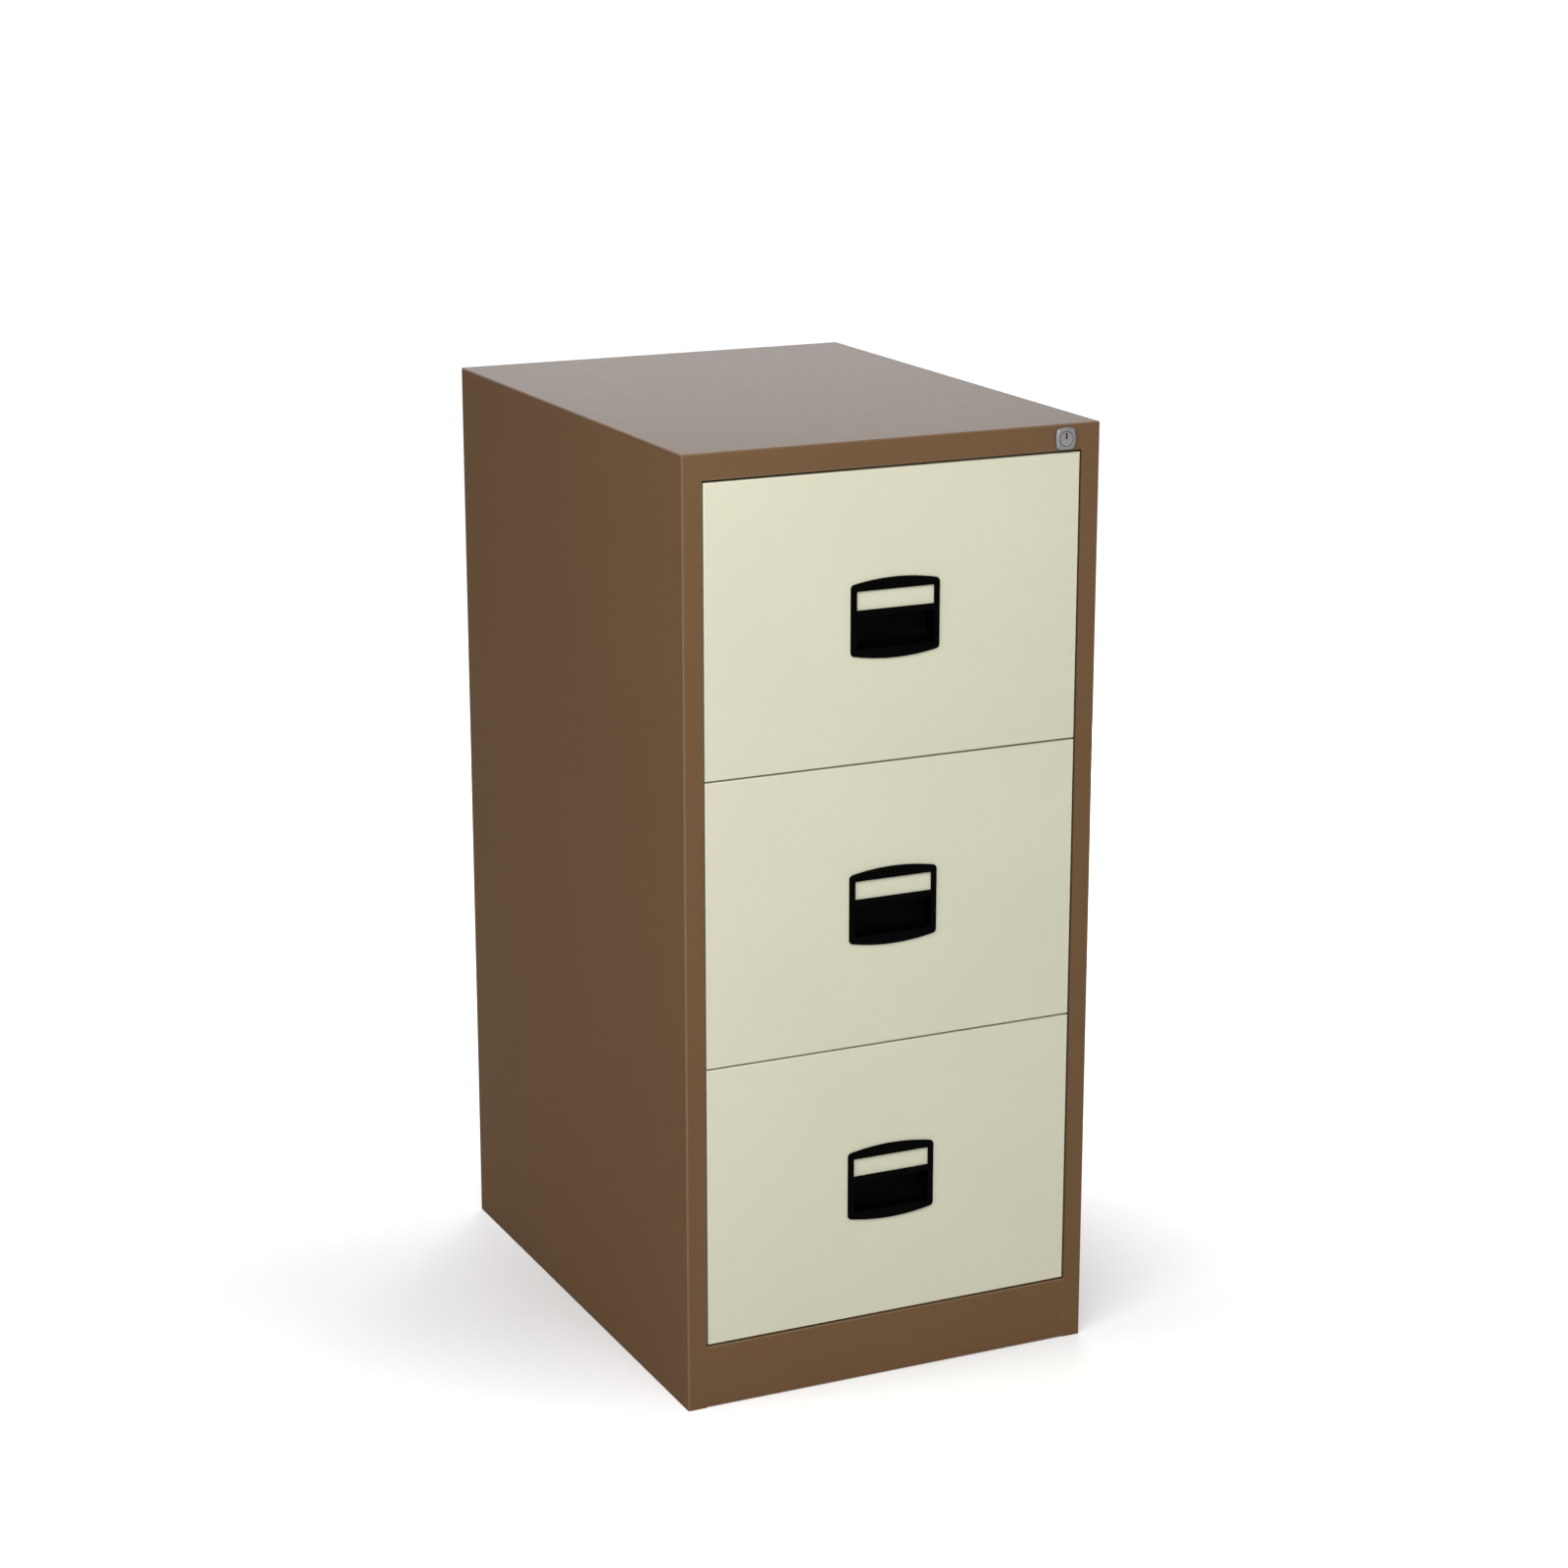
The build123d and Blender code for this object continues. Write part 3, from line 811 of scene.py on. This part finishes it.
tray_sheet = 0.0008
rivet_count = 4
runner_rivet_inset = 0.05
runner_rivet_level = 0.06
runner_rivet_step = (0.0, 0.15, 0.0)
rail_rivet_inset = 0.04
rail_rivet_drop = 0.0125
rail_rivet_step = (0.0, 0.158, 0.0)
screw_levels = (0.045, 0.2)
screw_first = -0.15
screw_step = (0.3, 0.0, 0.0)
screw_seed = 3
for name in drawer_names:
    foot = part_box(f"{name}_drawer_front")[0].z
    low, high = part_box(f"{name}_tray")
    rail_inner = high.x - 2 * tray_sheet
    bm = bmesh.new()
    for way, side in (("right", -1), ("left", 1)):
        start = (side * (high.x - tray_sheet), low.y + runner_rivet_inset, foot + runner_rivet_level)
        add_row(bm, rivet, start, runner_rivet_step, rivet_count, way)
        start = (side * rail_inner, low.y + rail_rivet_inset, high.z - rail_rivet_drop)
        add_row(bm, rivet, start, rail_rivet_step, rivet_count, way)
    for level in screw_levels:
        start = (screw_first, low.y + tray_sheet, foot + level)
        add_row(bm, screw_head, start, screw_step, 2, "back", screw_seed)
    fasteners = new_piece(f"{name}_tray_fasteners", bm, [runner_steel], turned_smooth_angle)
    rides(fasteners, f"{name}_drawer")

# Lock
# A die-cast zinc case with a satin nickel finish and softened edges, held by a nut behind the top rail.
# Its plug is turned, which leaves fine rings round the keyhole. The keyhole and the seat are painted near
# black, as painted shade.
plug_low, plug_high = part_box("lock_plug")
lock_centre = ((plug_low.x + plug_high.x) / 2, 0.0, (plug_low.z + plug_high.z) / 2)
lock_face = plug_low.y
groove_edge = 0.0001
seat_gap = 0.0008
seat_radius = (plug_high.x - plug_low.x) / 2 + seat_gap
barrel_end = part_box("lock_case")[1].y - groove_edge
lock_edge = 0.00012
plate_edge = 0.0005
duller = 0.88
roughness_drift = 0.08


def satin_metal(name, colour, roughness, ring_strength):
    """Satin nickel with a fine grain, and turning rings about the lock's axis."""
    material = bpy.data.materials.new(name)
    tree = empty_tree(material)
    place = put(tree, "ShaderNodeTexCoord").outputs["Object"]
    centred = put(tree, "ShaderNodeVectorMath", {0: place, 1: lock_centre}, operation="SUBTRACT")
    rings = put(
        tree,
        "ShaderNodeTexWave",
        {"Vector": centred.outputs[0], "Scale": 900.0, "Distortion": 0.4, "Detail": 1.0},
        wave_type="RINGS",
        rings_direction="Y",
    )
    grain = noise(tree, place, scale=1800.0, detail=3.0)
    turned = put(
        tree, "ShaderNodeBump", {"Height": rings.outputs[1], "Strength": ring_strength, "Distance": 0.00005}
    )
    cloud = noise(tree, place, scale=160.0, detail=3.0)
    shade = put(
        tree,
        "ShaderNodeMix",
        {0: cloud, 6: (*colour, 1.0), 7: (*[duller * part for part in colour], 1.0)},
        data_type="RGBA",
    )
    surface = put(
        tree,
        "ShaderNodeBsdfPrincipled",
        {
            "Base Color": shade.outputs[2],
            "Roughness": spread(tree, grain, roughness - roughness_drift, roughness + roughness_drift),
            "Normal": turned.outputs[0],
            "Metallic": 1.0,
        },
    )
    put(tree, "ShaderNodeOutputMaterial", {"Surface": surface.outputs[0]})
    return material


case_metal = satin_metal("case_metal", (0.225, 0.225, 0.23), roughness=0.5, ring_strength=0.0)
plug_metal = satin_metal("plug_metal", (0.25, 0.25, 0.245), roughness=0.38, ring_strength=0.3)
# A near-black finish for the lock's seat and keyhole: painted shade in the recesses.
painted_recess_shade = bpy.data.materials.new("painted_recess_shade")
tree = empty_tree(painted_recess_shade)
place = put(tree, "ShaderNodeTexCoord").outputs["Object"]
dust = noise(tree, place, scale=2400.0, detail=3.0)
surface = put(
    tree,
    "ShaderNodeBsdfPrincipled",
    {
        "Base Color": (0.006, 0.006, 0.006, 1.0),
        "Roughness": spread(tree, dust, 0.5, 0.8),
        "Specular IOR Level": 0.1,
    },
)
put(tree, "ShaderNodeOutputMaterial", {"Surface": surface.outputs[0]})
finish_nodes("lock_metal", case_metal)


def in_groove(place):
    """Faces of the case's seat and of its bore, which are painted near black as shade."""
    out = math.hypot(place.x - lock_centre[0], place.z - lock_centre[2])
    return place.y > lock_face + groove_edge and out < seat_radius and place.y < barrel_end


def in_keyhole(place):
    """Every face of the plug but its front."""
    return place.y > lock_face + groove_edge


case_finish = [case_metal, painted_recess_shade]
lock_plate = softened("lock_plate_and_barrel", "lock_case", lock_edge, plate_edge, case_finish, in_groove)
stands_for(lock_plate, "lock_case", "carcass")
plug_finish = [plug_metal, painted_recess_shade]
lock_core = softened("lock_core_and_keyhole", "lock_plug", lock_edge, lock_edge, plug_finish, in_keyhole)
stands_for(lock_core, "lock_plug", "lock_core")

# Lock bar
# A flat bar behind the right stile with its slotted head and hooks, all zinc plated and riveted together.
# The pin of the lock's cam lifts it.
lock_steel = plated("lock_steel", (0.58, 0.58, 0.56), (0.47, 0.46, 0.42), lines_along_z)
finish_nodes("lock_steel", lock_steel)
bar_rivet = turned_shape(
    "bar_rivet",
    [(0.0026, -0.0004), (0.0026, 0.0002), (0.0020, 0.0007), (0.0011, 0.0010), (0.0003, 0.00108)],
    sides=14,
    material=lock_steel,
)
bar_rivet_inset = 0.004
bar_rivet_level = 0.109
bar_step = (0.008, 0.0, 0.0)
hook_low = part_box("lock_hooks")[0]
head_low, head_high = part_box("lock_bar_head")
bar_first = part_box("lock_bar")[0].x + bar_rivet_inset
bm = bmesh.new()
for name in drawer_names:
    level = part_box(f"{name}_drawer_front")[0].z + bar_rivet_level
    add_row(bm, bar_rivet, (bar_first, hook_low.y, level), bar_step, 2, "front")
add_row(bm, bar_rivet, (bar_first, head_high.y, (head_low.z + head_high.z) / 2), bar_step, 2, "back")
bar_rivets = new_piece("lock_bar_rivets", bm, [lock_steel], turned_smooth_angle)
rides(bar_rivets, "lock_bar_set")

# Lock bar guides
# Clips of natural nylon with a fine moulded grain, fixed inside the right side panel. The lock bar slides
# up and down in them.
guide_nylon = moulded(
    "guide_nylon",
    colour=(0.76, 0.74, 0.68),
    grain_scale=700.0,
    relief=0.2,
    roughness=(0.4, 0.55),
    gloss=0.5,
)
finish_nodes("guide_nylon", guide_nylon)

# The shapes that only served to make the rows are in no collection, and go.
for made in list(bpy.data.objects):
    if not made.users_collection:
        bpy.data.objects.remove(made)
